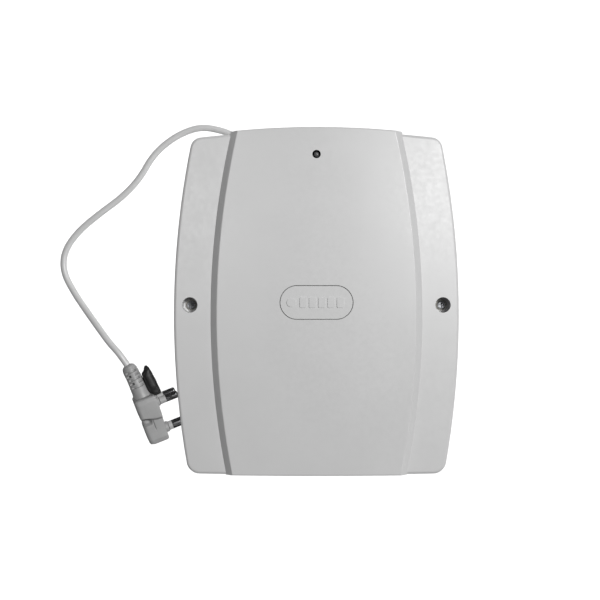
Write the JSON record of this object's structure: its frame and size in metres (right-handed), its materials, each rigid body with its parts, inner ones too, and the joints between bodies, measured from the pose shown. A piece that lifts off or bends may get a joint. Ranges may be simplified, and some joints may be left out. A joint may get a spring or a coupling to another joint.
{
  "type": "battery-backed power supply",
  "caption": "Wall-mount plastic enclosure with a raised centre panel, an indicator lamp and two cover screws, holding a battery-backed power supply, with a mains lead and a round-pin plug.",
  "frame": {"origin": "middle of the back of the enclosure, on the surface that it lies on", "axes": "+Z out of the front cover, +Y to the top of the unit, +X to the right as seen from the front"},
  "size_m": [0.3883, 0.3387, 0.0898],
  "materials": {
    "enclosure": "light grey-white moulded ABS, fine satin texture",
    "housing": "light grey-white moulded ABS",
    "steel": "zinc-plated",
    "nylon": "natural nylon",
    "brass": "turned",
    "lead_sheath": "white PVC sheath",
    "lead_boot": "white PVC",
    "plug_white": "grey-white moulded PVC",
    "plug_black": "black moulded PVC",
    "plug_grey": "grey PVC",
    "pin_metal": "nickel-plated brass",
    "wire_brown": "PVC",
    "wire_blue": "PVC",
    "wire_green": "PVC, green and yellow",
    "wire_white": "PVC",
    "wire_yellow": "PVC",
    "wire_red": "PVC",
    "wire_black": "PVC",
    "block_cream": "moulded nylon",
    "laminations": "varnished steel laminations",
    "bobbin_black": "glass-filled nylon",
    "winding_tape": "polyester tape",
    "plated_steel": "zinc-plated pressed steel",
    "board_green": "solder mask on glass laminate",
    "lamp_lens": "diffused lens, unlit",
    "post_black": "moulded nylon",
    "sink_aluminium": "black anodised extrusion",
    "epoxy_black": "moulded epoxy",
    "capacitor_sleeve": "dark shrink sleeve",
    "relay_blue": "moulded case",
    "clip_metal": "tin-plated",
    "terminal_green": "moulded nylon",
    "pad_foam": "closed-cell foam",
    "battery_black": "moulded ABS",
    "tab_metal": "tin-plated brass",
    "sleeve_red": "PVC sleeve"
  },
  "bodies": {
    "base": {"bar_screws": "steel", "base_housing": "housing", "battery_bar": "plated_steel", "battery_case": "battery_black", "battery_lid": "battery_black", "battery_tabs": "tab_metal", "board_screws": "steel", "capacitors": "capacitor_sleeve", "chips": "epoxy_black", "circuit_board": "board_green", "clamp_screws": "steel", "cord_boot": "lead_boot", "cord_clamp": "nylon", "cord_tail": "lead_sheath", "core_earth": "wire_green", "core_line": "wire_brown", "core_neutral": "wire_blue", "earth_wire": "wire_green", "foam_pad": "pad_foam", "fuse_clips": "clip_metal", "heat_sink": "sink_aluminium", "lamp_post": "post_black", "lead_connectors": "block_cream", "lead_negative": "wire_black", "lead_positive": "wire_red", "led_lamp": "lamp_lens", "mains_block": "block_cream", "mains_block_screws": "steel", "mains_cord": "lead_sheath", "output_block": "terminal_green", "pin_earth": "pin_metal", "pin_line": "pin_metal", "pin_neutral": "pin_metal", "pin_sleeves": "plug_grey", "plug_body": "plug_white", "plug_boot": "plug_white", "plug_tab": "plug_black", "primary_wires": "wire_white", "rectifier": "epoxy_black", "regulator": "epoxy_black", "relay": "relay_blue", "secondary_wires": "wire_yellow", "spade_sleeves": "sleeve_red", "tower_inserts": "brass", "transformer_bobbin": "bobbin_black", "transformer_core": "laminations", "transformer_frame": "plated_steel", "transformer_screws": "steel", "transformer_windings": "winding_tape"},
    "cover": {"cover": "enclosure", "badge_plate": "enclosure"},
    "washer_left": {"washer_left": "nylon"},
    "screw_left": {"screw_left": "steel"},
    "washer_right": {"washer_right": "nylon"},
    "screw_right": {"screw_right": "steel"},
    "fuse": {"fuse_link": "clip_metal"},
    "output_screw_1": {"output_screw_1": "steel"},
    "output_screw_2": {"output_screw_2": "steel"},
    "output_screw_3": {"output_screw_3": "steel"},
    "output_screw_4": {"output_screw_4": "steel"}
  },
  "joints": [
    {"name": "cover_lift", "type": "slide", "parent": "base", "child": "cover", "axis": [0, 0, 1], "range_m": [0, 0.12]},
    {"name": "screw_left_rise", "type": "slide", "parent": "cover", "child": "washer_left", "axis": [0, 0, 1], "range_m": [0, 0.0115]},
    {"name": "screw_left_turn", "type": "hinge", "parent": "washer_left", "child": "screw_left", "pos_m": [-0.118, -0.0037, 0.066], "axis": [0, 0, 1], "range_deg": [0, 5915.3]},
    {"name": "screw_right_rise", "type": "slide", "parent": "cover", "child": "washer_right", "axis": [0, 0, 1], "range_m": [0, 0.0115]},
    {"name": "screw_right_turn", "type": "hinge", "parent": "washer_right", "child": "screw_right", "pos_m": [0.118, -0.0037, 0.066], "axis": [0, 0, 1], "range_deg": [0, 5915.3]},
    {"name": "fuse_pull", "type": "slide", "parent": "base", "child": "fuse", "axis": [0, 0, 1], "range_m": [0, 0.02]},
    {"name": "output_1_turn", "type": "hinge", "parent": "base", "child": "output_screw_1", "pos_m": [0.079, 0.056, 0.0212], "axis": [0, 0, 1], "continuous": true},
    {"name": "output_2_turn", "type": "hinge", "parent": "base", "child": "output_screw_2", "pos_m": [0.079, 0.06108, 0.0212], "axis": [0, 0, 1], "continuous": true},
    {"name": "output_3_turn", "type": "hinge", "parent": "base", "child": "output_screw_3", "pos_m": [0.079, 0.06616, 0.0212], "axis": [0, 0, 1], "continuous": true},
    {"name": "output_4_turn", "type": "hinge", "parent": "base", "child": "output_screw_4", "pos_m": [0.079, 0.07124, 0.0212], "axis": [0, 0, 1], "continuous": true}
  ],
  "couplings": [
    {"joint": "screw_left_turn", "follows": "screw_left_rise", "rad_per_m": 8976},
    {"joint": "screw_right_turn", "follows": "screw_right_rise", "rad_per_m": 8976}
  ]
}
